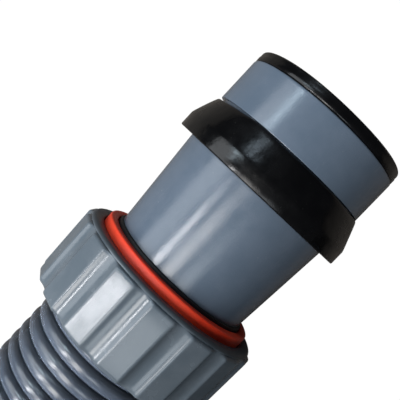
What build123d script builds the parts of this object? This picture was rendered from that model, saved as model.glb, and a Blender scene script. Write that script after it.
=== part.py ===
"""Pool vacuum hose: a swivelling union with a plug-in spigot, six metres of corrugated hose and a cuff.

Millimetres. The connector lies on the floor with its axis along X and its mouth toward +X. The origin is
on the floor, below the middle of the connector. "Station" below means a position along X.
"""
import math
import os

from build123d import *

os.makedirs("parts", exist_ok=True)

# ---------------------------------------------------------------- driving dimensions
# Hose
hose_bore = 38.0
hose_outer = 45.5
hose_radius = hose_outer / 2

# Connector, lengths along the axis from the mouth to the back
mouth_lip_length = 3.5
end_tube_length = 13.2
port_seal_length = 13.0
taper_length = 30.8
ring_projection = 2.6
nut_length = 22.1
connector_length = (
    mouth_lip_length + end_tube_length + port_seal_length + taper_length + ring_projection + nut_length
)

# Union nut
nut_outer_radius = 30.8
nut_panels = 15
nut_groove_depth = 0.9
nut_groove_width = 6.2
nut_edge_round = 0.45
nut_shoulder_radius = 29.6
nut_shoulder_length = 1.7
nut_shoulder_round = 0.9
nut_rear_rim_length = 0.7
nut_lip_thickness = 2.6
nut_bore_radius = 28.2

# Thread between the nut and the coupler
thread_pitch = 3.0
thread_depth = 0.95
thread_clearance = 0.3
thread_root_width = 1.7
thread_crest_width = 0.7
thread_sink = 0.25
thread_lead_in = 0.9

# Bearing ring
ring_outer_radius = 25.7
ring_bore_radius = 23.1
ring_flange_thickness = 1.8
ring_edge_round = 0.3

# Spigot, with the journal that the ring turns on
collar_thickness = 2.6
journal_projection = 0.8
journal_chamfer = 0.3
spigot_wall = 3.2
taper_back_radius = 21.9
taper_front_radius = 24.1
seal_seat_depth = 0.5
end_tube_radius = 25.0
nose_radius = 20.4
nose_bore_radius = 17.5
nose_length = 6.8
mouth_bore_radius = 21.5
lip_seat_radius = 23.2
lip_cover = 1.0
o_ring_section = 1.6
o_ring_groove_width = 2.2
o_ring_groove_depth = 1.5
o_ring_setback = 3.9

# Rubber seals on the spigot
port_seal_radius = 28.3
port_seal_band = 4.6
port_seal_front_radius = 25.6
port_seal_round = 0.4
mouth_lip_radius = 24.9
mouth_lip_round = 0.25

# Coupler and what seals it
gasket_thickness = 1.5
web_thickness = 1.9
tail_bore_radius = 16.6
tail_radius = 18.3
tail_length = 36.0
barb_height = 0.5
barb_count = 4
barb_pitch = 7.5
hose_end_seal_thickness = 1.0

# Running and assembly clearances
axial_gap = 0.2
radial_gap = 0.3
seat_gap = 0.05
hose_gap = 0.15
coupler_recess = 0.7

# Swivelling cuff at the far end, lengths from the back of its ferrule
cuff_radius = 27.5
cuff_mouth_radius = 24.6
cuff_length = 62.0
cuff_bore_radius = 19.2
cuff_socket_length = 45.0
cuff_grip_ribs = 5
cuff_grip_pitch = 4.4
cuff_grip_depth = 0.8
cuff_grip_width = 2.0
ferrule_radius = 26.0
ferrule_socket_length = 28.0
ferrule_web = 2.5
ferrule_nose_radius = 22.0
ferrule_nose_length = 13.5
cuff_washer_thickness = 0.8
snap_ring_width = 1.6
snap_ring_setback = 2.4
snap_groove_depth = 1.0
cuff_o_ring_setback = 5.2

# Coil and the straps that hold it
coil_outer_turn_radius = 269.0
turn_spacing = 46.0
coil_centre_x = -260.0
coil_corner_round = 18.0
strap_count = 3
strap_width = 25.0
strap_thickness = 1.5
strap_first_angle = 15.0

# ---------------------------------------------------------------- stations and derived sizes
panel_step = 360 / nut_panels
groove_half_angle = math.degrees(math.asin(nut_groove_width / 2 / nut_outer_radius))
panel_flat_radius = nut_outer_radius * math.cos(math.radians(panel_step / 2 - groove_half_angle))
axis_z = panel_flat_radius

mouth_x = connector_length / 2
lip_x = mouth_x - mouth_lip_length
seal_front_x = lip_x - end_tube_length
seal_rear_x = seal_front_x - port_seal_length
ring_front_x = seal_rear_x - taper_length
nut_front_x = ring_front_x - ring_projection
nut_rear_x = nut_front_x - nut_length

nut_lip_x = nut_front_x - nut_lip_thickness
flange_front_x = nut_lip_x - axial_gap
flange_rear_x = flange_front_x - ring_flange_thickness
collar_front_x = flange_rear_x - axial_gap
collar_rear_x = collar_front_x - collar_thickness
coupler_front_x = collar_rear_x - axial_gap - gasket_thickness
coupler_rear_x = nut_rear_x + coupler_recess
nose_end_x = collar_rear_x - nose_length
web_front_x = nose_end_x - axial_gap
web_rear_x = web_front_x - web_thickness
hose_start_x = web_rear_x - hose_end_seal_thickness
tail_end_x = web_rear_x - tail_length

nut_crest_radius = nut_bore_radius - thread_depth
coupler_root_radius = nut_crest_radius - thread_clearance
collar_radius = nut_crest_radius - radial_gap
journal_radius = ring_bore_radius - radial_gap
journal_front_x = ring_front_x + journal_projection
flange_radius = nut_crest_radius - radial_gap
nut_hole_radius = ring_outer_radius + radial_gap
nose_hole_radius = nose_radius + radial_gap
hose_socket_radius = hose_radius + hose_gap
seal_seat_radius = taper_front_radius - seal_seat_depth

coil_entry_y = 7.7
bottom_turn_z = strap_thickness + axial_gap + hose_radius
top_turn_z = bottom_turn_z + turn_spacing
coil_centre_y = coil_entry_y - coil_outer_turn_radius
coil_exit_y = coil_centre_y - coil_outer_turn_radius
coil_inner_turn_radius = coil_outer_turn_radius - turn_spacing

ferrule_rear_x = coil_centre_x + 262.0
far_y = coil_exit_y - 5.0
far_z = cuff_radius
ferrule_web_x = ferrule_rear_x + ferrule_socket_length
ferrule_shoulder_x = ferrule_web_x + ferrule_web
ferrule_end_x = ferrule_shoulder_x + ferrule_nose_length
cuff_rear_x = ferrule_shoulder_x + cuff_washer_thickness + 2 * axial_gap
cuff_step_x = ferrule_end_x + axial_gap
cuff_mouth_x = cuff_rear_x + cuff_length
snap_ring_x = ferrule_end_x - snap_ring_setback
cuff_o_ring_x = ferrule_shoulder_x + cuff_o_ring_setback

# ---------------------------------------------------------------- planes and axes
# On a profile plane, local x is the station and local y the radius.
profile = Plane(origin=(0, 0, axis_z), x_dir=(1, 0, 0), z_dir=(0, -1, 0))
connector_axis = Axis((0, 0, axis_z), (1, 0, 0))
far_profile = Plane(origin=(0, far_y, far_z), x_dir=(1, 0, 0), z_dir=(0, -1, 0))
far_axis = Axis((0, far_y, far_z), (1, 0, 0))


def across(station):
    """The plane across the connector's axis at a station, facing +X, with local y up."""
    return Plane(origin=(station, 0, axis_z), x_dir=(0, 1, 0), z_dir=(1, 0, 0))


def write(part, name):
    """Label a finished piece and write its STEP file."""
    part.label = name
    export_step(part, f"parts/{name}.step")


def thread_ridge(root_radius, crest_radius, first_x, last_x):
    """A right-hand helical ridge about the connector's axis, sunk a little into the wall it stands on."""
    side = 1 if crest_radius > root_radius else -1
    with BuildPart() as ridge:
        with BuildLine() as path:
            Helix(
                pitch=thread_pitch,
                height=last_x - first_x,
                radius=root_radius,
                center=(first_x, 0, axis_z),
                direction=(1, 0, 0),
            )
        start = path.line @ 0
        outward = Vector(0, start.Y, start.Z - axis_z).normalized()
        with BuildSketch(Plane(origin=start, x_dir=outward, z_dir=path.line % 0)):
            with BuildLine():
                Polyline(
                    (-side * thread_sink, -thread_root_width / 2),
                    (side * abs(crest_radius - root_radius), -thread_crest_width / 2),
                    (side * abs(crest_radius - root_radius), thread_crest_width / 2),
                    (-side * thread_sink, thread_root_width / 2),
                    close=True,
                )
            make_face()
        sweep(path=path.line, is_frenet=True)
    return ridge.part


# ---------------------------------------------------------------- union nut
thread_rear_x = coupler_rear_x + thread_lead_in
thread_front_x = coupler_front_x - thread_lead_in
nut_thread = thread_ridge(
    nut_bore_radius, nut_crest_radius, thread_rear_x + thread_pitch / 2, thread_front_x
)
groove_radius = (nut_groove_width**2 / 4 + nut_groove_depth**2) / (2 * nut_groove_depth)
with BuildPart() as union_nut:
    with BuildSketch(across(nut_rear_x + nut_rear_rim_length)) as grip:
        RegularPolygon(panel_flat_radius, nut_panels, major_radius=False, rotation=90)
        with PolarLocations(
            panel_flat_radius - nut_groove_depth + groove_radius, nut_panels, start_angle=90
        ):
            Circle(groove_radius, mode=Mode.SUBTRACT)
        fillet(grip.vertices(), nut_edge_round)
    extrude(amount=nut_length - nut_rear_rim_length - nut_shoulder_length)
    with BuildSketch(profile):
        with BuildLine():
            Polyline(
                (nut_rear_x, 0),
                (nut_rear_x, nut_shoulder_radius),
                (nut_front_x, nut_shoulder_radius),
                (nut_front_x, 0),
                close=True,
            )
        make_face()
    revolve(axis=connector_axis)
    rims = union_nut.edges().filter_by(GeomType.CIRCLE).group_by(Axis.X)
    fillet(rims[-1].filter_by(lambda e: e.radius > nut_hole_radius), nut_shoulder_round)
    with BuildSketch(profile):
        with BuildLine():
            Polyline(
                (nut_rear_x, 0),
                (nut_rear_x, nut_bore_radius),
                (nut_lip_x, nut_bore_radius),
                (nut_lip_x, nut_hole_radius),
                (nut_front_x, nut_hole_radius),
                (nut_front_x, 0),
                close=True,
            )
        make_face()
    revolve(axis=connector_axis, mode=Mode.SUBTRACT)
    add(nut_thread)
write(union_nut.part, "union_nut")

# ---------------------------------------------------------------- bearing ring
with BuildPart() as bearing_ring:
    with BuildSketch(profile):
        with BuildLine():
            Polyline(
                (flange_rear_x, ring_bore_radius),
                (flange_rear_x, flange_radius),
                (flange_front_x, flange_radius),
                (flange_front_x, ring_outer_radius),
                (ring_front_x, ring_outer_radius),
                (ring_front_x, ring_bore_radius),
                close=True,
            )
        make_face()
    revolve(axis=connector_axis)
    fillet(bearing_ring.edges().filter_by(GeomType.CIRCLE).group_by(Axis.X)[-1], ring_edge_round)
write(bearing_ring.part, "bearing_ring")

# ---------------------------------------------------------------- spigot
groove_rear_x = collar_rear_x - o_ring_setback - o_ring_groove_width / 2
groove_front_x = groove_rear_x + o_ring_groove_width
groove_floor = nose_radius - o_ring_groove_depth
throat_radius = taper_back_radius - spigot_wall
with BuildPart() as spigot:
    with BuildSketch(profile):
        with BuildLine():
            Polyline(
                (nose_end_x, nose_bore_radius),
                (nose_end_x, nose_radius),
                (groove_rear_x, nose_radius),
                (groove_rear_x, groove_floor),
                (groove_front_x, groove_floor),
                (groove_front_x, nose_radius),
                (collar_rear_x, nose_radius),
                (collar_rear_x, collar_radius),
                (collar_front_x, collar_radius),
                (collar_front_x, journal_radius),
                (journal_front_x - journal_chamfer, journal_radius),
                (journal_front_x, journal_radius - journal_chamfer),
                (journal_front_x, taper_back_radius),
                (seal_rear_x, taper_front_radius),
                (seal_rear_x, seal_seat_radius),
                (seal_front_x, seal_seat_radius),
                (seal_front_x, end_tube_radius),
                (lip_x, end_tube_radius),
                (lip_x, lip_seat_radius),
                (mouth_x - lip_cover, lip_seat_radius),
                (mouth_x - lip_cover, mouth_bore_radius),
                (collar_front_x, throat_radius),
                close=True,
            )
        make_face()
    revolve(axis=connector_axis)
write(spigot.part, "spigot")

# ---------------------------------------------------------------- rubber on the spigot
with BuildPart() as port_seal:
    with BuildSketch(profile):
        with BuildLine():
            Polyline(
                (seal_rear_x, seal_seat_radius + seat_gap),
                (seal_rear_x, port_seal_radius),
                (seal_rear_x + port_seal_band, port_seal_radius),
                (seal_front_x - seat_gap, port_seal_front_radius),
                (seal_front_x - seat_gap, seal_seat_radius + seat_gap),
                close=True,
            )
        make_face()
    revolve(axis=connector_axis)
    fillet(
        port_seal.edges().filter_by(GeomType.CIRCLE).filter_by(lambda e: e.radius > port_seal_radius - 0.1),
        port_seal_round,
    )
write(port_seal.part, "port_seal")

with BuildPart() as mouth_lip:
    with BuildSketch(profile):
        with BuildLine():
            Polyline(
                (lip_x, lip_seat_radius + seat_gap),
                (lip_x, mouth_lip_radius),
                (mouth_x, mouth_lip_radius),
                (mouth_x, mouth_bore_radius),
                (mouth_x - lip_cover + seat_gap, mouth_bore_radius),
                (mouth_x - lip_cover + seat_gap, lip_seat_radius + seat_gap),
                close=True,
            )
        make_face()
    revolve(axis=connector_axis)
    fillet(
        mouth_lip.edges().filter_by(GeomType.CIRCLE).filter_by(lambda e: e.radius > mouth_lip_radius - 0.1),
        mouth_lip_round,
    )
write(mouth_lip.part, "mouth_lip")

with BuildPart() as nose_o_ring:
    with BuildSketch(profile):
        with Locations(((groove_rear_x + groove_front_x) / 2, groove_floor + seat_gap + o_ring_section / 2)):
            Circle(o_ring_section / 2)
    revolve(axis=connector_axis)
write(nose_o_ring.part, "nose_o_ring")

# ---------------------------------------------------------------- coupler
coupler_thread = thread_ridge(
    coupler_root_radius, coupler_root_radius + thread_depth, thread_rear_x, thread_front_x
)
barbs = []
for i in range(barb_count):
    barb_x = web_rear_x - (i + 0.5) * barb_pitch - hose_end_seal_thickness
    barbs += [(barb_x, tail_radius), (barb_x, tail_radius + barb_height), (barb_x - barb_pitch / 2, tail_radius)]
with BuildPart() as hose_coupler:
    with BuildSketch(profile):
        with BuildLine():
            Polyline(
                (coupler_front_x, nose_hole_radius),
                (coupler_front_x, coupler_root_radius),
                (coupler_rear_x, coupler_root_radius),
                (coupler_rear_x, hose_socket_radius),
                (web_rear_x, hose_socket_radius),
                (web_rear_x, tail_radius),
                *barbs,
                (tail_end_x, tail_radius),
                (tail_end_x, tail_bore_radius),
                (web_front_x, tail_bore_radius),
                (web_front_x, nose_hole_radius),
                close=True,
            )
        make_face()
    revolve(axis=connector_axis)
    add(coupler_thread)
write(hose_coupler.part, "hose_coupler")

with BuildPart() as union_gasket:
    with BuildSketch(across(coupler_front_x)):
        Circle(collar_radius - 1.0)
        Circle(nose_hole_radius + radial_gap, mode=Mode.SUBTRACT)
    extrude(amount=gasket_thickness)
write(union_gasket.part, "union_gasket")

with BuildPart() as hose_end_seal:
    with BuildSketch(across(hose_start_x)):
        Circle(hose_socket_radius - hose_gap)
        Circle(tail_radius + hose_gap, mode=Mode.SUBTRACT)
    extrude(amount=hose_end_seal_thickness - seat_gap)
write(hose_end_seal.part, "hose_end_seal")


# ---------------------------------------------------------------- hose
def corner_radii(points):
    """The largest tangent arc that each inner corner of a route leaves room for."""
    radii = []
    for before, corner, after in zip(points, points[1:], points[2:]):
        arriving = Vector(*corner) - Vector(*before)
        leaving = Vector(*after) - Vector(*corner)
        half_turn = math.radians(arriving.get_angle(leaving)) / 2
        radii.append(0.45 * min(arriving.length, leaving.length) / math.tan(half_turn))
    return radii


def hose_length(name, points):
    """Print a stretch's bend radii and return its path."""
    radii = corner_radii(points)
    print(name, "bend radii", [round(r) for r in radii])
    return FilletPolyline(*points, radius=radii)


near_route = [
    (hose_start_x, 0, axis_z),
    (-120, 0, axis_z),
    (-178, 3.5, 27.6),
    (-224, coil_entry_y, bottom_turn_z),
    (coil_centre_x, coil_entry_y, bottom_turn_z),
]
far_route = [
    (coil_centre_x, coil_exit_y, top_turn_z),
    (-216, coil_exit_y, top_turn_z),
    (-172, coil_exit_y - 0.5, 67.8),
    (-130, coil_exit_y - 2.5, 57.5),
    (-88, coil_exit_y - 4, 44.0),
    (-46, far_y, 33.0),
    (-8, far_y, far_z),
    (ferrule_web_x, far_y, far_z),
]

with BuildPart() as hose:
    with BuildLine() as near_path:
        hose_length("hose", near_route)
    with BuildSketch(Plane(origin=near_path.line @ 0, z_dir=near_path.line % 0)):
        Circle(hose_radius)
        Circle(hose_bore / 2, mode=Mode.SUBTRACT)
    sweep(path=near_path.line)
write(hose.part, "hose")

with BuildPart() as hose_tail:
    with BuildLine() as far_path:
        hose_length("hose_tail", far_route)
    with BuildSketch(Plane(origin=far_path.line @ 0, z_dir=far_path.line % 0)):
        Circle(hose_radius)
        Circle(hose_bore / 2, mode=Mode.SUBTRACT)
    sweep(path=far_path.line)
write(hose_tail.part, "hose_tail")

coil_profile = Plane(origin=(coil_centre_x, coil_centre_y, 0), x_dir=(1, 0, 0), z_dir=(0, -1, 0))
coil_axis = Axis((coil_centre_x, coil_centre_y, 0), (0, 0, 1))
bundle_middle = ((coil_outer_turn_radius + coil_inner_turn_radius) / 2, (bottom_turn_z + top_turn_z) / 2)
bundle_width = turn_spacing + hose_outer
with BuildPart() as hose_coil:
    with BuildSketch(coil_profile):
        with Locations(bundle_middle):
            RectangleRounded(bundle_width, bundle_width, coil_corner_round)
    revolve(axis=coil_axis)
write(hose_coil.part, "hose_coil")

section = math.pi * (hose_radius**2 - (hose_bore / 2) ** 2)
for stretch, path in ((hose, near_path), (hose_tail, far_path)):
    run = sum(edge.length for edge in path.edges())
    print("length", round(run, 1), "volume over section x length", round(stretch.part.volume / (section * run), 4))

# ---------------------------------------------------------------- coil straps
strap_arc = math.degrees(strap_width / bundle_middle[0])
for number in range(strap_count):
    turn = strap_first_angle + number * 360 / strap_count
    outward = (math.cos(math.radians(turn)), math.sin(math.radians(turn)), 0)
    sideways = (math.sin(math.radians(turn)), -math.cos(math.radians(turn)), 0)
    with BuildPart() as strap:
        with BuildSketch(Plane(origin=(coil_centre_x, coil_centre_y, 0), x_dir=outward, z_dir=sideways)):
            with Locations(bundle_middle):
                RectangleRounded(
                    bundle_width + 2 * (axial_gap + strap_thickness),
                    bundle_width + 2 * (axial_gap + strap_thickness),
                    coil_corner_round + axial_gap + strap_thickness,
                )
                RectangleRounded(
                    bundle_width + 2 * axial_gap,
                    bundle_width + 2 * axial_gap,
                    coil_corner_round + axial_gap,
                    mode=Mode.SUBTRACT,
                )
        revolve(axis=coil_axis, revolution_arc=strap_arc)
    write(strap.part, f"coil_strap_{number + 1}")

# ---------------------------------------------------------------- cuff at the far end
snap_groove_floor = ferrule_nose_radius - snap_groove_depth
far_o_ring_floor = ferrule_nose_radius - o_ring_groove_depth
with BuildPart() as cuff_ferrule:
    with BuildSketch(far_profile):
        with BuildLine():
            Polyline(
                (ferrule_rear_x, hose_socket_radius),
                (ferrule_rear_x, ferrule_radius),
                (ferrule_shoulder_x, ferrule_radius),
                (ferrule_shoulder_x, ferrule_nose_radius),
                (cuff_o_ring_x - o_ring_groove_width / 2, ferrule_nose_radius),
                (cuff_o_ring_x - o_ring_groove_width / 2, far_o_ring_floor),
                (cuff_o_ring_x + o_ring_groove_width / 2, far_o_ring_floor),
                (cuff_o_ring_x + o_ring_groove_width / 2, ferrule_nose_radius),
                (snap_ring_x - snap_ring_width / 2 - seat_gap, ferrule_nose_radius),
                (snap_ring_x - snap_ring_width / 2 - seat_gap, snap_groove_floor),
                (snap_ring_x + snap_ring_width / 2 + seat_gap, snap_groove_floor),
                (snap_ring_x + snap_ring_width / 2 + seat_gap, ferrule_nose_radius),
                (ferrule_end_x, ferrule_nose_radius),
                (ferrule_end_x, hose_bore / 2),
                (ferrule_web_x, hose_bore / 2),
                (ferrule_web_x, hose_socket_radius),
                close=True,
            )
        make_face()
    revolve(axis=far_axis)
write(cuff_ferrule.part, "cuff_ferrule")

cuff_bearing_radius = ferrule_nose_radius + radial_gap
snap_ring_radius = ferrule_nose_radius + snap_groove_depth
with BuildPart() as swivel_cuff:
    with BuildSketch(far_profile):
        with BuildLine():
            Polyline(
                (cuff_rear_x, cuff_bearing_radius),
                (cuff_rear_x, cuff_radius),
                (cuff_step_x + cuff_grip_ribs * cuff_grip_pitch / 2, cuff_radius),
                (cuff_mouth_x, cuff_mouth_radius),
                (cuff_mouth_x, cuff_bore_radius),
                (cuff_step_x, cuff_bore_radius),
                (cuff_step_x, cuff_bearing_radius),
                (snap_ring_x + snap_ring_width / 2 + radial_gap, cuff_bearing_radius),
                (snap_ring_x + snap_ring_width / 2 + radial_gap, snap_ring_radius + radial_gap),
                (snap_ring_x - snap_ring_width / 2 - radial_gap, snap_ring_radius + radial_gap),
                (snap_ring_x - snap_ring_width / 2 - radial_gap, cuff_bearing_radius),
                close=True,
            )
        make_face()
    revolve(axis=far_axis)
    with BuildSketch(far_profile):
        for rib in range(cuff_grip_ribs):
            with Locations((cuff_rear_x + (rib + 1) * cuff_grip_pitch, cuff_radius)):
                Rectangle(cuff_grip_width, 2 * cuff_grip_depth)
    revolve(axis=far_axis, mode=Mode.SUBTRACT)
    fillet(swivel_cuff.edges().filter_by(GeomType.CIRCLE).group_by(Axis.X)[-1], ring_edge_round)
write(swivel_cuff.part, "swivel_cuff")

with BuildPart() as cuff_washer:
    with BuildSketch(Plane(origin=(ferrule_shoulder_x, far_y, far_z), x_dir=(0, 1, 0), z_dir=(1, 0, 0))):
        Circle(ferrule_radius - radial_gap)
        Circle(cuff_bearing_radius, mode=Mode.SUBTRACT)
    extrude(amount=cuff_washer_thickness)
write(cuff_washer.part, "cuff_washer")

with BuildPart() as cuff_snap_ring:
    with BuildSketch(far_profile):
        with Locations((snap_ring_x, (snap_groove_floor + seat_gap + snap_ring_radius) / 2)):
            Rectangle(snap_ring_width, snap_ring_radius - snap_groove_floor - seat_gap)
    revolve(axis=far_axis, revolution_arc=345)
write(cuff_snap_ring.part, "cuff_snap_ring")

with BuildPart() as cuff_o_ring:
    with BuildSketch(far_profile):
        with Locations((cuff_o_ring_x, far_o_ring_floor + seat_gap + o_ring_section / 2)):
            Circle(o_ring_section / 2)
    revolve(axis=far_axis)
write(cuff_o_ring.part, "cuff_o_ring")
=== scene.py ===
import math
from bisect import bisect_left

import bmesh
import bpy
from mathutils import Euler, Matrix, Vector


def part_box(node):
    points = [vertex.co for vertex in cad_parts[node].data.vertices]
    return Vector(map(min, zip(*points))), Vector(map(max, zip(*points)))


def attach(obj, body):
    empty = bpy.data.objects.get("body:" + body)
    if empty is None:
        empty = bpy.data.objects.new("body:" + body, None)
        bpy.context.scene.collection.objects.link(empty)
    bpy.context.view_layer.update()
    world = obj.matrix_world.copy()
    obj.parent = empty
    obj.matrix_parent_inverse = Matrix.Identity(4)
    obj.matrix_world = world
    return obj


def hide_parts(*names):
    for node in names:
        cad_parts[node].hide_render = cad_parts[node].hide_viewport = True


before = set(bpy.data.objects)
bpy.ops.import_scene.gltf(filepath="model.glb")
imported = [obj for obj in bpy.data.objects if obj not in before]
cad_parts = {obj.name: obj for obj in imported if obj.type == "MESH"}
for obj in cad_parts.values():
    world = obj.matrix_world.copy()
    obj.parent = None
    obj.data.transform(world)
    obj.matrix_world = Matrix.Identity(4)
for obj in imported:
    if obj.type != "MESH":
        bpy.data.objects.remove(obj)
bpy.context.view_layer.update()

scene = bpy.context.scene
MM = 0.001


# ---------------------------------------------------------------- places, from the frame
def span(node, axis):
    """The lowest and highest value of a node along one axis, in metres."""
    low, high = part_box(node)
    return low[axis], high[axis]


nut_back, nut_front = span("union_nut", 0)
ring_back, ring_front = span("bearing_ring", 0)
spigot_back = span("spigot", 0)[0]
seal_back, seal_front = span("port_seal", 0)
lip_back, mouth = span("mouth_lip", 0)
hose_start = span("hose", 0)[1]
seal_low, seal_high = span("port_seal", 2)
axis_height = (seal_low + seal_high) / 2
coil_low, coil_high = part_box("hose_coil")
coil_centre = Vector(((coil_low[0] + coil_high[0]) / 2, (coil_low[1] + coil_high[1]) / 2, 0))

# ---------------------------------------------------------------- camera
camera_place = (0.0129, -0.01215, 0.19260)
camera_turns = (2.285, 8.569, -46.298)  # degrees
camera_data = bpy.data.cameras.new("camera")
camera_data.sensor_width = 36
camera_data.lens = 51.93
camera_data.clip_start = 0.01
camera = bpy.data.objects.new("camera", camera_data)
camera.location = camera_place
camera.rotation_euler = Euler([math.radians(turn) for turn in camera_turns])
scene.collection.objects.link(camera)
scene.camera = camera

# ---------------------------------------------------------------- hose route
hose_diameter = 0.0455
hose_radius = hose_diameter / 2
turn_spacing = 0.046
outer_turn = 0.269
inner_turn = outer_turn - turn_spacing
bottom_turn_z = 0.02445  # the lower turns lie on the straps
top_turn_z = bottom_turn_z + turn_spacing
points_per_turn = 24
first_angle, last_angle = 90, 1350  # degrees: the hose joins the coil at the first and leaves it at the last
inward_shift = (390, 450)  # where the second turn moves inside the first
outward_shift = (995, 1065)  # where the last turn moves back out
rise = (680, 750)  # where the hose climbs onto the lower turns

# From the union to the coil, and from the coil to the far cuff.
near_route = [
    (hose_start, 0, axis_height),
    (-0.120, 0, axis_height),
    (-0.178, 0.0035, 0.0276),
    (-0.224, 0.0077, bottom_turn_z),
    (-0.260, 0.0077, bottom_turn_z),
]
far_route = [
    (-0.260, -0.5303, top_turn_z),
    (-0.216, -0.5303, top_turn_z),
    (-0.172, -0.5308, 0.0678),
    (-0.130, -0.5328, 0.0575),
    (-0.088, -0.5343, 0.0440),
    (-0.046, -0.5353, 0.0330),
    (-0.008, -0.5353, 0.0275),
    (0.030, -0.5353, 0.0275),
]


def eased(value, start, end):
    """0 before start and 1 after end, with a smooth change between."""
    share = min(max((value - start) / (end - start), 0), 1)
    return share * share * (3 - 2 * share)


def coil_points():
    """The control points of the coil: two turns on the floor, then one and a half on top of them."""
    step = 360 / points_per_turn
    pull_out = 1 / (0.75 + 0.25 * math.cos(math.radians(step)))  # the curve runs inside its control points
    points = []
    angle = first_angle + step
    while angle < last_angle - step / 2:
        inward = eased(angle, *inward_shift) - eased(angle, *outward_shift)
        radius = (outer_turn - turn_spacing * inward) * pull_out
        height = bottom_turn_z + turn_spacing * eased(angle, *rise)
        turn = math.radians(angle)
        points.append((
            coil_centre.x + radius * math.cos(turn), coil_centre.y + radius * math.sin(turn), height
        ))
        angle += step
    return points


route = near_route[:-1] + coil_points() + far_route[1:]
curve = bpy.data.curves.new("hose_route", "CURVE")
curve.dimensions = "3D"
spline = curve.splines.new("NURBS")
spline.points.add(len(route) - 1)
for point, place in zip(spline.points, route):
    point.co = (*place, 1)
spline.order_u = 3
spline.use_endpoint_u = True
spline.resolution_u = 24
route_object = bpy.data.objects.new("hose_route", curve)
scene.collection.objects.link(route_object)
bpy.context.view_layer.update()
line_mesh = bpy.data.meshes.new_from_object(route_object)
line = [vertex.co.copy() for vertex in line_mesh.vertices]
bpy.data.objects.remove(route_object)
bpy.data.meshes.remove(line_mesh)
reach = [0.0]
for before, after in zip(line, line[1:]):
    reach.append(reach[-1] + (after - before).length)
hose_length = reach[-1]


def walk(distance):
    """The point and the direction of the hose's line at a distance along it."""
    i = min(max(bisect_left(reach, distance) - 1, 0), len(reach) - 2)
    before, after = line[i], line[i + 1]
    share = (distance - reach[i]) / (reach[i + 1] - reach[i])
    direction = (after - before).normalized()
    if 0 < i < len(line) - 2:
        incoming = (after - line[i - 1]).normalized()
        outgoing = (line[i + 2] - before).normalized()
        direction = incoming.lerp(outgoing, share).normalized()
    return before.lerp(after, share), direction


# ---------------------------------------------------------------- small helpers
def deselect():
    """Leave nothing selected."""
    bpy.ops.object.select_all(action="DESELECT")


def activate(piece):
    """Select one piece and nothing else, and make it the active one."""
    deselect()
    piece.select_set(True)
    bpy.context.view_layer.objects.active = piece


def finish_piece(piece, body, material, stands_for):
    """Give a modelled piece its material and its body, and hide the CAD nodes that it stands for."""
    piece.data.materials.clear()
    piece.data.materials.append(material)
    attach(piece, body)
    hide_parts(*stands_for)


def apply_modifier(piece, kind, **settings):
    """Add a modifier with its settings and apply it."""
    activate(piece)
    bpy.ops.object.modifier_add(type=kind)
    modifier = piece.modifiers[-1]
    for name, value in settings.items():
        setattr(modifier, name, value)
    bpy.ops.object.modifier_apply(modifier=modifier.name)


def mesh_object(name, mesh):
    """A new object from a bmesh, which is freed."""
    data = bpy.data.meshes.new(name)
    mesh.to_mesh(data)
    mesh.free()
    piece = bpy.data.objects.new(name, data)
    scene.collection.objects.link(piece)
    return piece


def held(outline):
    """The outline with points near both ends of its long sides, which keep their shading straight."""
    long_side, from_end = 2 * MM, 0.3 * MM
    points = []
    for first, last in zip(outline, outline[1:] + outline[:1]):
        points.append(first)
        length = math.dist(first, last)
        if length > long_side:
            for share in (from_end / length, 1 - from_end / length):
                points.append(tuple(a + (b - a) * share for a, b in zip(first, last)))
    return points


def turned(name, outline, steps=160, bevel=0.0, segments=3, shape=None, sharp=40):
    """A piece turned about the union's axis, from a closed outline of (station, radius) points.

    shape, if given, moves each vertex: it gets the station, the radius, the angle from straight up and the
    place, and gives the new place. sharp is the angle in degrees above which an edge isn't smoothed.
    """
    merge_distance = 0.005 * MM
    bevel_above = 28  # degrees
    if shape is None:
        outline = held(outline)
    deselect()
    bpy.ops.mesh.primitive_circle_add(vertices=len(outline), radius=0.01)
    piece = bpy.context.object
    piece.name = piece.data.name = name
    piece.location = (0, 0, 0)
    for vertex, (station, radius) in zip(piece.data.vertices, outline):
        vertex.co = (station, 0, axis_height + radius)
    bpy.ops.object.mode_set(mode="EDIT")
    bpy.ops.mesh.select_all(action="SELECT")
    bpy.ops.mesh.spin(
        steps=steps, angle=2 * math.pi, center=(0, 0, axis_height), axis=(1, 0, 0), dupli=False
    )
    bpy.ops.mesh.select_all(action="SELECT")
    bpy.ops.mesh.remove_doubles(threshold=merge_distance)
    bpy.ops.mesh.normals_make_consistent(inside=False)
    bpy.ops.object.mode_set(mode="OBJECT")
    if shape:
        for vertex in piece.data.vertices:
            across = Vector((0, vertex.co.y, vertex.co.z - axis_height))
            vertex.co = shape(vertex.co.x, across.length, math.atan2(-across.y, across.z), vertex.co)
    if bevel:
        apply_modifier(
            piece, "BEVEL", width=bevel, segments=segments, limit_method="ANGLE",
            angle_limit=math.radians(bevel_above),
        )
    activate(piece)
    bpy.ops.object.shade_smooth_by_angle(angle=math.radians(sharp))
    return piece


# ---------------------------------------------------------------- finishes shared by the materials
def finish_group(name, inputs, outputs):
    """A new shader node group with named float inputs and outputs, and its input and output nodes."""
    group = bpy.data.node_groups.new(name, "ShaderNodeTree")
    for label, value in inputs.items():
        socket = group.interface.new_socket(label, in_out="INPUT", socket_type="NodeSocketFloat")
        socket.default_value = value
    for label in outputs:
        group.interface.new_socket(label, in_out="OUTPUT", socket_type="NodeSocketFloat")
    entry = group.nodes.new("NodeGroupInput")
    leave = group.nodes.new("NodeGroupOutput")
    return group, entry, leave


def maths(tree, operation, first, second=None, third=None):
    """A Math node on sockets or numbers. Gives its output."""
    node = tree.nodes.new("ShaderNodeMath")
    node.operation = operation
    for slot, value in zip(node.inputs, (first, second, third)):
        if isinstance(value, bpy.types.NodeSocket):
            tree.links.new(value, slot)
        elif value is not None:
            slot.default_value = value
    return node.outputs[0]


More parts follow.
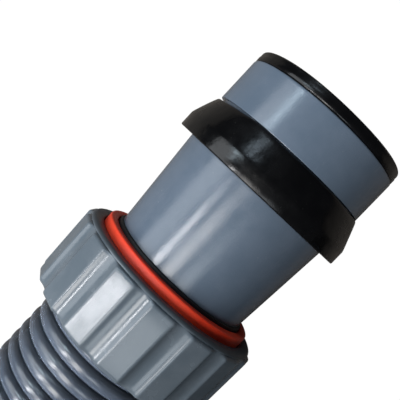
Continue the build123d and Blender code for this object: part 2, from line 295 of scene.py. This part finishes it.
def ramp_between(tree, value, low, high, to_low=0.0, to_high=1.0):
    """A smooth change from one value to another while the input goes from low to high."""
    node = tree.nodes.new("ShaderNodeMapRange")
    node.interpolation_type = "SMOOTHSTEP"
    tree.links.new(value, node.inputs["Value"])
    for label, number in (("From Min", low), ("From Max", high), ("To Min", to_low), ("To Max", to_high)):
        node.inputs[label].default_value = number
    return node.outputs["Result"]


def noise(tree, vector, scale, detail=3.0, roughness=0.5):
    """A noise texture's value. The scale may be a socket."""
    node = tree.nodes.new("ShaderNodeTexNoise")
    tree.links.new(vector, node.inputs["Vector"])
    if isinstance(scale, bpy.types.NodeSocket):
        tree.links.new(scale, node.inputs["Scale"])
    else:
        node.inputs["Scale"].default_value = scale
    node.inputs["Detail"].default_value = detail
    node.inputs["Roughness"].default_value = roughness
    return node.outputs["Fac"]


def stretched(tree, vector, scale, turn=(0, 0, 0)):
    """The coordinates turned and then drawn out, for lines along one direction."""
    node = tree.nodes.new("ShaderNodeMapping")
    tree.links.new(vector, node.inputs["Vector"])
    node.inputs["Scale"].default_value = scale
    node.inputs["Rotation"].default_value = [math.radians(part) for part in turn]
    return node.outputs["Vector"]


def object_place(tree):
    """The coordinates fixed to the object."""
    return tree.nodes.new("ShaderNodeTexCoord").outputs["Object"]


def build_mould_grain():
    """Fine spark-eroded grain, softer lumps under it and a slow cloudiness of the colour."""
    group, entry, leave = finish_group(
        "mould_grain", {"Grain Scale": 2600.0, "Lump Scale": 260.0, "Lump Share": 0.6}, ("Height", "Cloud")
    )
    place = object_place(group)
    grain = noise(group, place, entry.outputs["Grain Scale"], detail=2.0)
    lumps = noise(group, place, entry.outputs["Lump Scale"], detail=3.0, roughness=0.45)
    mix = group.nodes.new("ShaderNodeMix")
    group.links.new(entry.outputs["Lump Share"], mix.inputs["Factor"])
    group.links.new(grain, mix.inputs["A"])
    group.links.new(lumps, mix.inputs["B"])
    group.links.new(mix.outputs["Result"], leave.inputs["Height"])
    cloud = noise(group, place, 95.0, detail=4.0, roughness=0.6)
    group.links.new(ramp_between(group, cloud, 0.35, 0.68), leave.inputs["Cloud"])
    return group


def build_scuffs():
    """Thin handling scratches in two directions, only in some places."""
    group, entry, leave = finish_group("scuffs", {"Scale": 1.0, "Amount": 1.0}, ("Mask",))
    place = object_place(group)
    total = None
    for turn, scale in (((0, 0, 18), (60, 900, 900)), ((25, 0, -52), (70, 1100, 1100))):
        lines = noise(group, stretched(group, place, scale, turn), entry.outputs["Scale"], detail=1.0)
        offset = maths(group, "ABSOLUTE", maths(group, "SUBTRACT", lines, 0.5))
        line = ramp_between(group, offset, 0.0, 0.018, 1.0, 0.0)
        total = line if total is None else maths(group, "MAXIMUM", total, line)
    patches = ramp_between(group, noise(group, place, 75.0, detail=2.0), 0.52, 0.66)
    mask = maths(group, "MULTIPLY", maths(group, "MULTIPLY", total, patches), entry.outputs["Amount"])
    group.links.new(mask, leave.inputs["Mask"])
    return group


def build_dust():
    """Small pale specks that lie unevenly."""
    group, entry, leave = finish_group("dust", {"Scale": 900.0, "Amount": 1.0}, ("Mask",))
    place = object_place(group)
    cells = group.nodes.new("ShaderNodeTexVoronoi")
    group.links.new(place, cells.inputs["Vector"])
    group.links.new(entry.outputs["Scale"], cells.inputs["Scale"])
    speck = ramp_between(group, cells.outputs["Distance"], 0.06, 0.16, 1.0, 0.0)
    patches = ramp_between(group, noise(group, place, 140.0, detail=3.0), 0.55, 0.72)
    mask = maths(group, "MULTIPLY", maths(group, "MULTIPLY", speck, patches), entry.outputs["Amount"])
    group.links.new(mask, leave.inputs["Mask"])
    return group


def build_edge_wear():
    """Rubbed edges, broken up by noise."""
    group, entry, leave = finish_group("edge_wear", {"Start": 0.53, "Amount": 1.0}, ("Mask",))
    bend = group.nodes.new("ShaderNodeNewGeometry").outputs["Pointiness"]
    over = maths(group, "SUBTRACT", bend, entry.outputs["Start"])
    edge = ramp_between(group, over, 0.0, 0.06)
    broken = ramp_between(group, noise(group, object_place(group), 700.0, detail=4.0), 0.35, 0.6, 0.25, 1.0)
    mask = maths(group, "MULTIPLY", maths(group, "MULTIPLY", edge, broken), entry.outputs["Amount"])
    group.links.new(mask, leave.inputs["Mask"])
    return group


def build_painted_gap_shade():
    """Painted shade: a dark colour on one side of a station along X, which the sign of Blend picks, standing
    in for the shade in a gap between parts.
    """
    group, entry, leave = finish_group("painted_gap_shade", {"Station": 0.0, "Blend": 0.0002}, ("Mask",))
    split = group.nodes.new("ShaderNodeSeparateXYZ")
    group.links.new(object_place(group), split.inputs[0])
    behind = maths(group, "SUBTRACT", entry.outputs["Station"], split.outputs["X"])
    share = maths(group, "DIVIDE", behind, entry.outputs["Blend"])
    group.links.new(ramp_between(group, share, 0.0, 1.0), leave.inputs["Mask"])
    return group


def build_weave():
    """A plain weave on the UV map, with one unit of the map per metre."""
    group, entry, leave = finish_group("weave", {"Threads Per Metre": 900.0}, ("Height", "Tone"))
    split = group.nodes.new("ShaderNodeSeparateXYZ")
    group.links.new(group.nodes.new("ShaderNodeTexCoord").outputs["UV"], split.inputs[0])
    waves = []
    for axis in (0, 1):
        turn = maths(group, "MULTIPLY", split.outputs[axis], entry.outputs["Threads Per Metre"])
        waves.append(maths(group, "MULTIPLY", turn, math.pi))
    over = maths(group, "MULTIPLY", maths(group, "SINE", waves[0]), maths(group, "SINE", waves[1]))
    warp = maths(group, "ABSOLUTE", maths(group, "SINE", waves[0]))
    weft = maths(group, "ABSOLUTE", maths(group, "SINE", waves[1]))
    upper = ramp_between(group, over, -0.25, 0.25)
    mix = group.nodes.new("ShaderNodeMix")
    group.links.new(upper, mix.inputs["Factor"])
    group.links.new(warp, mix.inputs["A"])
    group.links.new(weft, mix.inputs["B"])
    group.links.new(mix.outputs["Result"], leave.inputs["Height"])
    group.links.new(upper, leave.inputs["Tone"])
    return group


mould_grain = build_mould_grain()
scuffs = build_scuffs()
dust = build_dust()
edge_wear = build_edge_wear()
painted_gap_shade = build_painted_gap_shade()
weave = build_weave()


# ---------------------------------------------------------------- materials
dust_colour = (0.32, 0.32, 0.30)
# The near-black colour of painted shade in the gaps between parts.
painted_shade_colour = (0.006, 0.006, 0.007)


def use_group(tree, group, **values):
    """A copy of a node group in a material, with some of its inputs set. Gives its outputs."""
    node = tree.nodes.new("ShaderNodeGroup")
    node.node_tree = group
    for label, value in values.items():
        node.inputs[label.replace("_", " ")].default_value = value
    return node.outputs


def colour_between(tree, share, first, second):
    """A mix of two colours. Each may be a colour or a socket."""
    mix = tree.nodes.new("ShaderNodeMix")
    mix.data_type = "RGBA"
    tree.links.new(share, mix.inputs["Factor"])
    for slot, colour in ((mix.inputs[6], first), (mix.inputs[7], second)):
        if isinstance(colour, bpy.types.NodeSocket):
            tree.links.new(colour, slot)
        else:
            slot.default_value = (*colour, 1)
    return mix.outputs[2]


def moulded(name, dark, light, rubbed, smooth, rough, bump=0.06, lump_share=0.6, lump_scale=260.0,
            scratch=0.0, speck=0.0, wear=0.0, specular=0.5,
            shade_behind=None, shade_blend=0.0002, shade_share=1.0):
    """A moulded plastic or rubber: clouded colour, grain, its own share of wear, scratches and dust, and
    painted shade on one side of a station along X if asked.

    dark and light are the ends of the clouded colour, smooth and rough those of the roughness. rubbed is the
    colour of scratches and worn edges. bump is the relief's height in millimetres.
    """
    material = bpy.data.materials.new(name)
    material.use_nodes = True
    tree = material.node_tree
    shader = tree.nodes["Principled BSDF"]
    shader.inputs["Specular IOR Level"].default_value = specular
    grain = use_group(tree, mould_grain, Lump_Scale=lump_scale, Lump_Share=lump_share)
    colour = colour_between(tree, grain["Cloud"], dark, light)
    roughness = ramp_between(tree, grain["Cloud"], 0.0, 1.0, smooth, rough)
    if scratch:
        mask = use_group(tree, scuffs, Amount=scratch)["Mask"]
        colour = colour_between(tree, mask, colour, rubbed)
        roughness = maths(tree, "MULTIPLY_ADD", mask, 0.15, roughness)
    if wear:
        mask = use_group(tree, edge_wear, Amount=wear)["Mask"]
        colour = colour_between(tree, mask, colour, rubbed)
    if speck:
        mask = use_group(tree, dust, Amount=speck)["Mask"]
        colour = colour_between(tree, mask, colour, dust_colour)
        roughness = maths(tree, "MULTIPLY_ADD", mask, 0.3, roughness)
    # Painted shade: the colour goes near black on one side of a station, for the shade in a gap between
    # parts.
    if shade_behind is not None:
        mask = use_group(tree, painted_gap_shade, Station=shade_behind, Blend=shade_blend)["Mask"]
        mask = maths(tree, "MULTIPLY", mask, shade_share)
        colour = colour_between(tree, mask, colour, painted_shade_colour)
        roughness = maths(tree, "MULTIPLY_ADD", mask, 0.4, roughness)
    tree.links.new(colour, shader.inputs["Base Color"])
    tree.links.new(roughness, shader.inputs["Roughness"])
    relief = tree.nodes.new("ShaderNodeBump")
    relief.inputs["Strength"].default_value = 1.0
    relief.inputs["Distance"].default_value = bump * MM
    tree.links.new(grain["Height"], relief.inputs["Height"])
    tree.links.new(relief.outputs["Normal"], shader.inputs["Normal"])
    return material


hose_plastic = moulded(
    "hose_plastic", (0.024, 0.030, 0.039), (0.031, 0.038, 0.048), (0.10, 0.11, 0.13), 0.19, 0.25,
    bump=0.03, lump_scale=420.0, speck=0.2,
)
# The nut's front shoulder gets painted shade, darker towards the ring.
nut_plastic = moulded(
    "nut_plastic", (0.106, 0.133, 0.158), (0.132, 0.159, 0.184), (0.22, 0.25, 0.27), 0.205, 0.285,
    bump=0.012, lump_scale=150.0, lump_share=0.7, speck=0.2,
    shade_behind=nut_front - 1.1 * MM, shade_blend=-0.0006, shade_share=0.55,
)
# The journal in front of the ring gets painted shade, near black.
spigot_plastic = moulded(
    "spigot_plastic", (0.094, 0.126, 0.168), (0.108, 0.140, 0.184), (0.22, 0.25, 0.29), 0.18, 0.24,
    bump=0.05, lump_scale=300.0, lump_share=0.45, scratch=0.12, speck=0.25,
    shade_behind=ring_front + 1.0 * MM,
)
ring_plastic = moulded(
    "ring_plastic", (0.84, 0.045, 0.014), (0.92, 0.065, 0.024), (0.75, 0.20, 0.12), 0.42, 0.52,
    bump=0.03, lump_scale=300.0, scratch=0.1, specular=0.32,
)
seal_rubber = moulded(
    "seal_rubber", (0.0025, 0.0025, 0.0028), (0.0045, 0.0045, 0.0048), (0.02, 0.02, 0.02), 0.16, 0.28,
    bump=0.16, lump_scale=230.0, lump_share=0.95, speck=0.1, specular=0.32,
)
coupler_plastic = moulded(
    "coupler_plastic", (0.085, 0.10, 0.12), (0.11, 0.13, 0.15), (0.25, 0.27, 0.29), 0.34, 0.48,
    bump=0.06, scratch=0.3, speck=0.2,
)
washer_plastic = moulded(
    "washer_plastic", (0.55, 0.55, 0.52), (0.64, 0.64, 0.61), (0.75, 0.75, 0.72), 0.35, 0.5, bump=0.04
)
cuff_plastic = moulded(
    "cuff_plastic", (0.020, 0.020, 0.023), (0.030, 0.030, 0.034), (0.09, 0.09, 0.095), 0.36, 0.52,
    bump=0.08, scratch=0.5, speck=0.35, wear=0.4,
)


def webbing(name, colour, pale):
    """Woven strap: threads across and along, matt and a little fuzzy."""
    material = bpy.data.materials.new(name)
    material.use_nodes = True
    tree = material.node_tree
    shader = tree.nodes["Principled BSDF"]
    shader.inputs["Sheen Weight"].default_value = 0.25
    shader.inputs["Specular IOR Level"].default_value = 0.25
    threads = use_group(tree, weave, Threads_Per_Metre=850.0)
    cloud = use_group(tree, mould_grain)["Cloud"]
    tone = maths(tree, "MULTIPLY_ADD", threads["Tone"], 0.6, maths(tree, "MULTIPLY", cloud, 0.4))
    tree.links.new(colour_between(tree, tone, colour, pale), shader.inputs["Base Color"])
    tree.links.new(ramp_between(tree, tone, 0.0, 1.0, 0.95, 0.8), shader.inputs["Roughness"])
    relief = tree.nodes.new("ShaderNodeBump")
    relief.inputs["Distance"].default_value = 0.25 * MM
    tree.links.new(threads["Height"], relief.inputs["Height"])
    tree.links.new(relief.outputs["Normal"], shader.inputs["Normal"])
    return material


strap_fabric = webbing("strap_fabric", (0.018, 0.018, 0.020), (0.040, 0.040, 0.044))

# ---------------------------------------------------------------- hose
rib_pitch = 4.45 * MM
rib_depth = 1.9 * MM
fine_ribs = 20  # ribs beside the union with a finer mesh than the coil's
fine_around, coarse_around = 72, 20
fine_rings, coarse_rings = 12, 3  # rings of vertices in each rib


def rib_height(share):
    """How far the wall stands out of the groove, from 0 to 1, at a share of one rib's pitch."""
    return (1 - abs(2 * share - 1) ** 2.4) ** 0.5


def ring_share(k, rings_per_rib):
    """Where ring k of a rib lies, as a share of the pitch, closer together beside the groove."""
    return (1 - math.cos(math.pi * k / rings_per_rib)) / 2


def hose_tube(mesh, start, end, rings_per_rib, around):
    """Add a ribbed stretch to the mesh. The rib is one helix, so each column starts a little further on."""
    ring_count = round((end - start) / rib_pitch) * rings_per_rib
    uv = mesh.loops.layers.uv.verify()
    columns = []
    for j in range(around + 1):
        turn = j / around
        angle = 2 * math.pi * turn
        column = []
        for k in range(ring_count + 1):
            share = ring_share(k % rings_per_rib, rings_per_rib)
            distance = start + (k // rings_per_rib + share + turn) * rib_pitch
            place, along = walk(min(distance, hose_length))
            side = along.cross(Vector((0, 0, 1))).normalized()
            up = side.cross(along)
            radius = hose_radius - rib_depth * (1 - rib_height(share))
            out = up * math.cos(angle) + side * math.sin(angle)
            column.append((place + out * radius, distance, turn))
        columns.append(column)
    made = [[mesh.verts.new(spot[0]) for spot in column] for column in columns[:-1]]
    for j in range(around):
        last = j == around - 1
        right = made[0] if last else made[j + 1]
        shift = rings_per_rib if last else 0
        for k in range(ring_count - shift):
            face = mesh.faces.new((made[j][k], made[j][k + 1], right[k + 1 + shift], right[k + shift]))
            corners = ((j, k), (j, k + 1), (j + 1, k + 1), (j + 1, k))
            for loop, (column, row) in zip(face.loops, corners):
                distance, turn = columns[column][row][1:]
                loop[uv].uv = (turn, distance)
            face.smooth = True


mesh = bmesh.new()
fine_end = fine_ribs * rib_pitch
hose_tube(mesh, 0.0, fine_end, fine_rings, fine_around)
hose_tube(mesh, fine_end - rib_pitch, hose_length - 2 * rib_pitch, coarse_rings, coarse_around)
corrugated_hose = mesh_object("corrugated_hose", mesh)
finish_piece(corrugated_hose, "hose", hose_plastic, ("hose", "hose_coil", "hose_tail"))

# ---------------------------------------------------------------- union nut
panels = 15
steps_per_panel = 34
flat_radius = axis_height  # the nut stands on its flats
shoulder_radius = 29.6 * MM
shoulder_length = 1.1 * MM
nut_bore = 28.2 * MM
nut_lip = 2.6 * MM
nut_hole = 26.0 * MM
nut_draft = 0.020  # how much narrower the back is, as a share
groove_depth = 0.9 * MM
groove_width = 6.2 * MM
groove_round = (groove_width**2 / 4 + groove_depth**2) / (2 * groove_depth)
groove_centre = flat_radius - groove_depth + groove_round
pad_front = nut_front - shoulder_length
pad_end_round = 1.0 * MM
pad_rear_round = 1.3 * MM
rear_rim_drop = 0.9 * MM
rim_break = 0.3 * MM
quarter = (0, 18, 36, 54, 72, 90)  # degrees
PAD = 40 * MM  # a stand-in radius in the outline, which shape_nut replaces


def grip_radius(angle):
    """The nut's outer radius at an angle from straight up, where a groove lies."""
    step = 2 * math.pi / panels
    from_groove = abs((angle + step / 2) % step - step / 2)
    flat = flat_radius / math.cos(step / 2 - from_groove)
    inside = groove_round**2 - (groove_centre * math.sin(from_groove)) ** 2
    if inside <= 0:
        return flat
    return min(flat, groove_centre * math.cos(from_groove) - math.sqrt(inside))


def quarter_round(distance, size):
    """0 at the foot of a rounded edge and 1 from its size onwards."""
    left = min(1.0, max(0.0, 1 - distance / size))
    return math.sqrt(1 - left * left)


def shape_nut(station, radius, angle, place):
    """Give the outline's pad points the radius of the panels, grooves and rounded ends."""
    if radius < PAD - MM:
        return place
    grip = grip_radius(angle) * (1 - nut_draft * (nut_front - station) / (nut_front - nut_back))
    front = quarter_round(pad_front - station, pad_end_round)
    rear = quarter_round(station - nut_back, pad_rear_round)
    low = shoulder_radius if station > (nut_front + nut_back) / 2 else grip - rear_rim_drop
    reach_out = (low + (grip - low) * min(front, rear)) / radius
    return Vector((station, place.y * reach_out, axis_height + (place.z - axis_height) * reach_out))


def pad_stations():
    """Stations along a panel from back to front, close together where its ends round over."""
    rear = [nut_back + pad_rear_round * (1 - math.cos(math.radians(a))) for a in quarter]
    front = [pad_front - pad_end_round * (1 - math.cos(math.radians(a))) for a in quarter[::-1]]
    middle = [rear[-1] + (front[0] - rear[-1]) * part / 4 for part in (1, 2, 3)]
    return rear + middle + front


def rounded_corner(station, radius, size, steps=4):
    """A quarter circle from the outer face to the front face of a turned piece."""
    return [
        (station - size + size * math.sin(math.radians(a)), radius - size + size * math.cos(math.radians(a)))
        for a in [90 * part / steps for part in range(steps + 1)]
    ]


nut_outline = [(nut_back, nut_bore)]
nut_outline += [(station, PAD) for station in pad_stations()]
nut_outline += rounded_corner(nut_front, shoulder_radius, 1.05 * MM)
nut_outline += [
    (nut_front, nut_hole + rim_break),
    (nut_front - rim_break, nut_hole),
    (nut_front - nut_lip, nut_hole),
    (nut_front - nut_lip, nut_bore),
]
nut = turned("grip_nut", nut_outline, steps=panels * steps_per_panel, shape=shape_nut, sharp=50)
finish_piece(nut, "union_nut", nut_plastic, ("union_nut",))

# ---------------------------------------------------------------- bearing ring
ring_bore = 23.1 * MM
ring_radius = 25.7 * MM
flange_radius = 26.95 * MM
flange_front = ring_back + 1.8 * MM
ring_break = 0.35 * MM
ring_outline = [
    (ring_back, ring_bore),
    (ring_back, flange_radius),
    (flange_front, flange_radius),
    (flange_front, ring_radius),
    *rounded_corner(ring_front, ring_radius, 0.5 * MM),
    (ring_front, ring_bore + ring_break),
    (ring_front - ring_break, ring_bore),
]
ring = turned("swivel_ring", ring_outline, sharp=50)
finish_piece(ring, "bearing_ring", ring_plastic, ("bearing_ring",))

# ---------------------------------------------------------------- spigot
nose_bore, nose_radius = 17.5 * MM, 20.4 * MM
collar_front = ring_back - 0.2 * MM
collar_back = collar_front - 2.6 * MM
collar_bore, collar_radius = 18.7 * MM, 26.95 * MM
journal_front = ring_front + 0.8 * MM
journal_radius = 22.8 * MM
taper_back_radius, taper_front_radius = 22.0 * MM, 24.1 * MM
seal_seat_radius = 23.6 * MM
end_tube_radius = 25.0 * MM
lip_seat_radius = 23.2 * MM
lip_seat_front = mouth - 1.0 * MM
mouth_bore = 21.5 * MM
spigot_outline = [
    (spigot_back, nose_bore),
    (spigot_back, nose_radius),
    (collar_back, nose_radius),
    (collar_back, collar_radius),
    (collar_front, collar_radius),
    (collar_front, journal_radius),
    *rounded_corner(journal_front, journal_radius, 0.3 * MM, 3),
    (journal_front, taper_back_radius),
    (seal_back, taper_front_radius),
    (seal_back, seal_seat_radius),
    (seal_front, seal_seat_radius),
    (seal_front, end_tube_radius),
    *rounded_corner(lip_back, end_tube_radius, 0.45 * MM, 4),
    (lip_back, lip_seat_radius),
    (lip_seat_front, lip_seat_radius),
    (lip_seat_front, mouth_bore),
    (collar_front, collar_bore),
]
spigot = turned("spigot_tube", spigot_outline, bevel=0.12 * MM, segments=2)
finish_piece(spigot, "spigot", spigot_plastic, ("spigot",))

# ---------------------------------------------------------------- seals
seal_radius = 28.3 * MM
seal_band = 4.6 * MM
seal_tip_radius = 25.5 * MM
seal_inner = 23.65 * MM


def between(first, last, steps):
    """Points that divide the straight line between two outline points, without its ends."""
    return [tuple(a + (b - a) * part / steps for a, b in zip(first, last)) for part in range(1, steps)]


set_back_start, set_back_end = (184, 192), (300, 340)  # degrees, where the cone's edge lies further back


def shape_seal(station, _, angle, place):
    """Soft rubber: the cone's front edge lies unevenly, and further back along one stretch."""
    share = max(0.0, (station - seal_back - seal_band) / (seal_front - seal_back - seal_band))
    degrees = math.degrees(angle) % 360
    set_back = eased(degrees, *set_back_start) * (1 - eased(degrees, *set_back_end))
    ripple = 0.10 * math.sin(7 * angle + 0.6) + 0.06 * math.sin(12 * angle + 2.0)
    move = -share**3 * (0.75 * set_back + 0.25 + ripple) * MM
    return Vector((station + move, place.y, place.z))


band_end = (seal_back + seal_band, seal_radius)
tip = (seal_front - 0.5 * MM, seal_tip_radius)
seal_outline = [
    (seal_back, seal_inner),
    (seal_back, seal_radius - 0.35 * MM),
    (seal_back + 0.10 * MM, seal_radius - 0.10 * MM),
    (seal_back + 0.35 * MM, seal_radius),
    *between((seal_back + 0.35 * MM, seal_radius), band_end, 3),
    (seal_back + seal_band - 0.25 * MM, seal_radius),
    (seal_back + seal_band + 0.25 * MM, seal_radius - 0.12 * MM),
    *between(band_end, tip, 7),
    tip,
    (seal_front - 0.2 * MM, seal_tip_radius - 0.22 * MM),
    (seal_front - 0.05 * MM, seal_tip_radius - 0.6 * MM),
    (seal_front - 0.05 * MM, seal_inner),
]
wedge_seal = turned("wedge_seal", seal_outline, steps=240, shape=shape_seal, sharp=60)
finish_piece(wedge_seal, "spigot", seal_rubber, ("port_seal",))

lip_radius = 24.9 * MM
lip_end_radius = lip_radius - 0.12 * MM
lip_inner = 23.25 * MM
lip_flange_back = mouth - 0.95 * MM


def shape_lip(station, _, angle, place):
    """The lip's front edge is a little uneven."""
    share = max(0.0, (station - lip_back) / (mouth - lip_back))
    ripple = 0.5 + 0.35 * math.sin(2 * angle + 1.1) + 0.15 * math.sin(5 * angle)
    return Vector((station - share * share * ripple * 0.2 * MM, place.y, place.z))


lip_outline = [
    (lip_back, lip_inner),
    (lip_back, lip_radius - 0.5 * MM),
    (lip_back + 0.15 * MM, lip_radius - 0.15 * MM),
    (lip_back + 0.5 * MM, lip_radius),
    (lip_back + 1.5 * MM, lip_radius),
    (lip_back + 1.8 * MM, lip_end_radius),
    *rounded_corner(mouth, lip_end_radius, 0.8 * MM, 5),
    (mouth, mouth_bore + 0.4 * MM),
    (mouth - 0.4 * MM, mouth_bore),
    (lip_flange_back, mouth_bore),
    (lip_flange_back, lip_inner),
]
lip = turned("end_lip", lip_outline, steps=240, shape=shape_lip, sharp=60)
finish_piece(lip, "spigot", seal_rubber, ("mouth_lip",))

# ---------------------------------------------------------------- straps round the coil
strap_width = 25 * MM
strap_thickness = 1.5 * MM
strap_gap = 0.2 * MM
strap_count = 3
first_strap_angle = 15  # degrees
strap_lift = 0.05 * MM  # off the hose
tab_thickness = 0.42 * MM
tab_lift = strap_thickness - 0.43 * MM
band_thickness = strap_thickness - 0.5 * MM
row_spacing = 2.5 * MM  # between the rows of vertices along the band
tab_rows = 16
edge_margin = 1 * MM  # how far beside the strap the hose still counts
bundle_middle = ((outer_turn + inner_turn) / 2, (bottom_turn_z + top_turn_z) / 2)
snug_radius = hose_diameter / 2 + strap_gap
overlap = 34 * MM
# Where the columns of vertices lie across the strap, closer together at its edges.
strap_columns = (-1.0, -0.97, -0.9, -0.6, -0.2, 0.2, 0.6, 0.9, 0.97, 1.0)


def strap_outline(outward, along):
    """Points drawn tight round the turns of hose under a strap, from the middle of its top and back."""
    turns = []
    for point in line:
        arm = point - coil_centre
        if abs(arm.dot(along)) < strap_width / 2 + edge_margin and arm.dot(outward) > 0:
            turns.append(Vector((arm.dot(outward) - bundle_middle[0], arm.z - bundle_middle[1])))
    points = []
    for degrees in (89.5, *range(85, -270, -5), -269.5):
        facing = Vector((math.cos(math.radians(degrees)), math.sin(math.radians(degrees))))
        points.append(max(turns, key=lambda spot: spot.dot(facing)) + facing * snug_radius)
    top = (points[0] + points[-1]) / 2
    return [top, *points, top]


def add_band(mesh, points, outward, along, lift, thick):
    """Add a closed band of cloth on the points to the mesh, lifted off them, with its edges rounded."""
    uv = mesh.loops.layers.uv.verify()
    rows = []
    way = 0.0
    for index, point in enumerate(points):
        before = points[max(index - 1, 0)]
        after = points[min(index + 1, len(points) - 1)]
        heading = (after - before).normalized()
        normal = Vector((-heading.y, heading.x))
        if normal.dot(point) < 0:
            normal = -normal
        way += (point - before).length
        row = []
        for face in (1, -1):
            for share in strap_columns[::face]:
                edge = 0.5 * thick if abs(share) == 1 else 0.0
                level = lift + (thick - edge if face == 1 else edge)
                place = point + normal * level
                across = share * strap_width / 2
                spot = coil_centre + outward * (bundle_middle[0] + place.x) + along * across
                spot.z = bundle_middle[1] + place.y
                row.append((mesh.verts.new(spot), across, way))
        rows.append(row)
    for one, two in zip(rows, rows[1:]):
        for k in range(len(one)):
            corner = (one[k], one[(k + 1) % len(one)], two[(k + 1) % len(one)], two[k])
            face = mesh.faces.new([spot[0] for spot in corner])
            face.smooth = True
            for loop, spot in zip(face.loops, corner):
                loop[uv].uv = spot[1:]
    for row in (rows[0], rows[-1]):
        mesh.faces.new([spot[0] for spot in row])


def strap_piece(number):
    """A woven strap round the bundle, with its end sewn down over its start."""
    turn = math.radians(first_strap_angle + number * 360 / strap_count)
    middle = turn - strap_width / 2 / bundle_middle[0]
    outward = Vector((math.cos(middle), math.sin(middle), 0))
    along = Vector((-math.sin(middle), math.cos(middle), 0))
    outline = strap_outline(outward, along)
    band = []
    for first, last in zip(outline, outline[1:]):
        count = max(1, round((last - first).length / row_spacing))
        band += [first.lerp(last, part / count) for part in range(count)]
    band.append(outline[-1])
    slope = (outline[1] - outline[-2]).normalized()
    tab = [outline[0] + slope * overlap * (part / tab_rows - 0.5) for part in range(tab_rows + 1)]
    mesh = bmesh.new()
    add_band(mesh, band, outward, along, strap_lift, band_thickness)
    add_band(mesh, tab, outward, along, tab_lift, tab_thickness)
    bmesh.ops.recalc_face_normals(mesh, faces=mesh.faces)
    piece = mesh_object(f"woven_strap_{number + 1}", mesh)
    finish_piece(piece, "hose", strap_fabric, (f"coil_strap_{number + 1}",))
    return piece


straps = [strap_piece(number) for number in range(strap_count)]

# ---------------------------------------------------------------- CAD nodes that show as they are
shown_nodes = {
    "hose_coupler": coupler_plastic,
    "union_gasket": seal_rubber,
    "nose_o_ring": seal_rubber,
    "hose_end_seal": seal_rubber,
    "cuff_ferrule": coupler_plastic,
    "swivel_cuff": cuff_plastic,
    "cuff_washer": washer_plastic,
    "cuff_snap_ring": washer_plastic,
    "cuff_o_ring": seal_rubber,
}
for node, material in shown_nodes.items():
    node_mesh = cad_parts[node].data
    node_mesh.materials.clear()
    node_mesh.materials.append(material)

# ---------------------------------------------------------------- studio
floor_size = 6
floor_glow = 1.06
glow_to_camera = 0.95
deselect()
bpy.ops.mesh.primitive_plane_add(size=floor_size)
floor = bpy.context.object
floor.name = "studio_floor"
floor_material = bpy.data.materials.new("studio_floor")
floor_material.use_nodes = True
nodes = floor_material.node_tree.nodes
links = floor_material.node_tree.links
paint = nodes["Principled BSDF"]
paint.inputs["Base Color"].default_value = (0.16, 0.14, 0.12, 1)
paint.inputs["Roughness"].default_value = 0.9
# The camera sees the floor glow white, with the shadow in the small share of paint that is left.
glow = nodes.new("ShaderNodeEmission")
glow.inputs["Color"].default_value = (1, 1, 1, 1)
glow.inputs["Strength"].default_value = floor_glow
light_path = nodes.new("ShaderNodeLightPath")
glow_share = maths(floor_material.node_tree, "MULTIPLY", light_path.outputs["Is Camera Ray"], glow_to_camera)
mix = nodes.new("ShaderNodeMixShader")
links.new(glow_share, mix.inputs["Fac"])
links.new(paint.outputs[0], mix.inputs[1])
links.new(glow.outputs[0], mix.inputs[2])
links.new(mix.outputs[0], nodes["Material Output"].inputs["Surface"])
floor.data.materials.append(floor_material)


def lamp(name, place, target, size, power, colour):
    """A rectangular soft light at a place, turned to a target, its first side along X. Power is in watts."""
    data = bpy.data.lights.new(name, "AREA")
    data.shape = "RECTANGLE"
    data.size, data.size_y = size
    data.energy = power
    data.color = colour
    light = bpy.data.objects.new(name, data)
    light.location = place
    away = (Vector(place) - Vector(target)).normalized()
    side = Vector((0, 1, 0)).cross(away).normalized()
    light.rotation_euler = Matrix((side, away.cross(side), away)).transposed().to_euler()
    scene.collection.objects.link(light)
    return light


# The two streaks along the tubes, the cooler sheen on the end section, and the walls' soft light.
lamp("key", (-0.42, 0.44, 0.67), (-0.04, 0, 0.04), (0.56, 0.05), 4.2, (0.98, 0.98, 1.0))
lamp("second", (-0.42, 0.13, 0.79), (-0.04, 0, 0.04), (0.56, 0.24), 4.2, (1.0, 0.98, 0.96))
lamp("key_end", (0.14, 0.49, 0.63), (0.02, 0, 0.04), (0.15, 0.05), 0.75, (0.72, 0.89, 1.0))
lamp("left_wall", (-0.15, 0.68, 0.50), (-0.01, 0, 0.03), (0.7, 0.4), 2.9, (0.92, 0.96, 1.0))
lamp("right_wall", (-0.34, -0.24, 0.74), (-0.04, 0, 0.04), (0.28, 0.26), 1.0, (0.90, 0.96, 1.0))

# A far light from behind, for the ribs of the hose alone.
rear_sky = lamp("rear_sky", (-3.0, 0.40, 1.25), (-0.15, -0.1, 0.04), (2.0, 1.6), 700, (0.88, 0.91, 1.0))
hose_only = bpy.data.collections.new("hose_only")
hose_only.objects.link(corrugated_hose)
rear_sky.light_linking.receiver_collection = hose_only
rear_sky.visible_glossy = False

lamp("front", (0.62, 0.40, 0.62), (0.03, 0, 0.04), (0.12, 0.10), 0.7, (0.70, 0.86, 1.0))

world = bpy.data.worlds.new("studio")
scene.world = world
world.use_nodes = True
background = world.node_tree.nodes["Background"]
background.inputs["Color"].default_value = (0.045, 0.050, 0.060, 1)
background.inputs["Strength"].default_value = 0.8
scene.view_settings.view_transform = "Standard"

bpy.context.view_layer.update()
